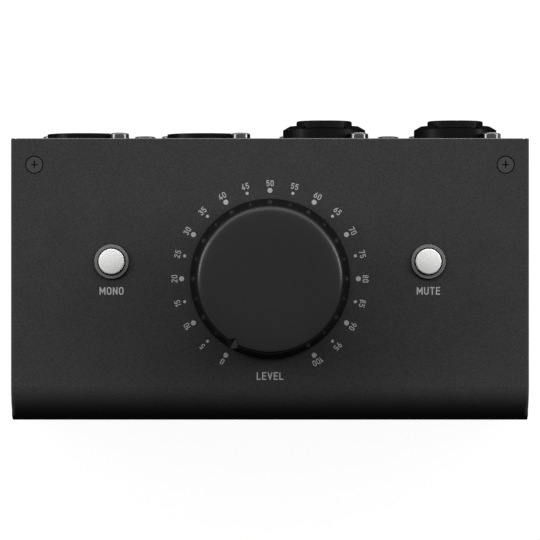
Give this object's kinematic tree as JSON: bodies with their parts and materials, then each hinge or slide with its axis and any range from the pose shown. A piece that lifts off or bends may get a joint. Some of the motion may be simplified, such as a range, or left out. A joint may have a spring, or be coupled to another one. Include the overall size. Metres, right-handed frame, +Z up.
{
  "type": "studio monitor controller",
  "caption": "Low black desktop box with a large central level knob, two white push buttons and a row of round audio connectors at the rear.",
  "frame": {"origin": "on the resting plane, under the middle of the bounding box", "axes": "+X to the right, +Y to the rear connectors, +Z up through the knob"},
  "size_m": [0.145, 0.0848, 0.064],
  "materials": {
    "casing": "fine black powder coat",
    "foot": "matt moulded rubber",
    "black_screw": "black oxide steel",
    "bright_screw": "bright nickel-plated steel",
    "steel": "zinc-plated steel",
    "connector": "black glass-filled nylon",
    "insert": "black polyamide",
    "contact": "gold-flashed contact",
    "board": "green solder mask on glass epoxy",
    "chip": "dark glaze with tinned ends",
    "ribbon": "grey PVC ribbon",
    "socket": "black header moulding",
    "pot_metal": "nickelled brass",
    "pot_plastic": "brown phenolic",
    "track": "printed carbon",
    "shaft": "turned aluminium",
    "knob": "satin soft-touch black",
    "skirt": "polished black",
    "cap": "gloss white",
    "bezel": "mid grey satin",
    "switch": "black switch moulding",
    "plunger": "natural acetal"
  },
  "bodies": {
    "casing": {"base_nuts": "steel", "base_screws": "black_screw", "base_tray": "casing", "bracket_screws": "bright_screw", "button_bezels": "bezel", "connector_screws": "bright_screw", "control_board": "board", "control_screws": "bright_screw", "control_standoffs": "steel", "cover_nuts": "steel", "cover_screws": "black_screw", "earth_brackets": "steel", "input_left_contacts": "contact", "input_left_insert": "insert", "input_left_latch_pin": "steel", "input_left_latch_spring": "steel", "input_left_shell": "connector", "input_right_contacts": "contact", "input_right_insert": "insert", "input_right_latch_pin": "steel", "input_right_latch_spring": "steel", "input_right_shell": "connector", "main_board": "board", "main_screws": "bright_screw", "main_standoffs": "steel", "mono_spring": "steel", "mono_switch": "switch", "mono_terminals": "contact", "mute_spring": "steel", "mute_switch": "switch", "mute_terminals": "contact", "output_left_pins": "contact", "output_left_shell": "connector", "output_right_pins": "contact", "output_right_shell": "connector", "pot_bushing": "pot_metal", "pot_nut": "pot_metal", "pot_terminals": "contact", "pot_tracks": "track", "pot_wafers": "pot_plastic", "pot_washer": "steel", "resistors": "chip", "ribbon_cable": "ribbon", "ribbon_sockets": "socket", "rubber_feet": "foot", "top_cover": "casing"},
    "level_control": {"knob_shell": "knob", "knob_skirt": "skirt", "knob_clip": "steel", "pot_shaft": "shaft", "pot_wipers": "contact"},
    "mono_key": {"mono_button": "cap", "mono_plunger": "plunger"},
    "mute_key": {"mute_button": "cap", "mute_plunger": "plunger"},
    "input_left_release": {"input_left_latch": "insert"},
    "input_right_release": {"input_right_latch": "insert"}
  },
  "joints": [
    {"name": "level_turn", "type": "hinge", "parent": "casing", "child": "level_control", "pos_m": [0, -0.00258, 0.047], "axis": [0, 0, 1], "range_deg": [-300, 0]},
    {"name": "mono_press", "type": "slide", "parent": "casing", "child": "mono_key", "axis": [0, 0, 1], "range_m": [-0.0022, 0], "stiffness_N_per_m": 260, "springref_m": 0.002, "deforming": ["mono_spring"]},
    {"name": "mute_press", "type": "slide", "parent": "casing", "child": "mute_key", "axis": [0, 0, 1], "range_m": [-0.0022, 0], "stiffness_N_per_m": 260, "springref_m": 0.002, "deforming": ["mute_spring"]},
    {"name": "input_left_push", "type": "hinge", "parent": "casing", "child": "input_left_release", "pos_m": [0.0155, 0.01452, 0.0342], "axis": [1, 0, 0], "range_deg": [-2.2, 0], "stiffness_Nm_per_rad": 1.2, "springref_deg": 1.72, "deforming": ["input_left_latch_spring"]},
    {"name": "input_right_push", "type": "hinge", "parent": "casing", "child": "input_right_release", "pos_m": [0.053, 0.01452, 0.0342], "axis": [1, 0, 0], "range_deg": [-2.2, 0], "stiffness_Nm_per_rad": 1.2, "springref_deg": 1.72, "deforming": ["input_right_latch_spring"]}
  ]
}
